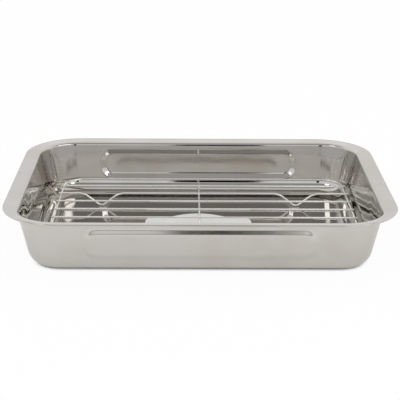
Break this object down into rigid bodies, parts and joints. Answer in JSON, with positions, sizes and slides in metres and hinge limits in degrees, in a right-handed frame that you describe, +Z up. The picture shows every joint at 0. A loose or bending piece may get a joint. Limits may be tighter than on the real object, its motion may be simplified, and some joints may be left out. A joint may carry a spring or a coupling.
{
  "type": "roasting pan with rack",
  "caption": "Rectangular roasting pan with a flared flange, rolled edge and pressed side panels, and a loose wire rack that stands on its floor on V-bent legs.",
  "frame": {"origin": "the middle of the pan's underside, on the worktop", "axes": "+X along the pan's length, +Y across it towards its back, +Z up"},
  "size_m": [0.4, 0.3, 0.058],
  "materials": {
    "pan_steel": "bright stainless steel sheet, mirror-like inside, with fine forming marks",
    "rack_chrome": "bright chrome-plated steel wire, resistance welded"
  },
  "bodies": {
    "pan": {"pan": "pan_steel"},
    "rack": {"rack_frame": "rack_chrome", "cross_bar": "rack_chrome", "front_edge_wire": "rack_chrome", "front_inner_wire": "rack_chrome", "front_middle_wire": "rack_chrome", "back_edge_wire": "rack_chrome", "back_inner_wire": "rack_chrome", "back_middle_wire": "rack_chrome", "front_leg_wire": "rack_chrome", "back_leg_wire": "rack_chrome"}
  },
  "joints": [
    {"name": "rack_lift", "type": "slide", "parent": "pan", "child": "rack", "axis": [0, 0, 1], "range_m": [0, 0.07]}
  ]
}
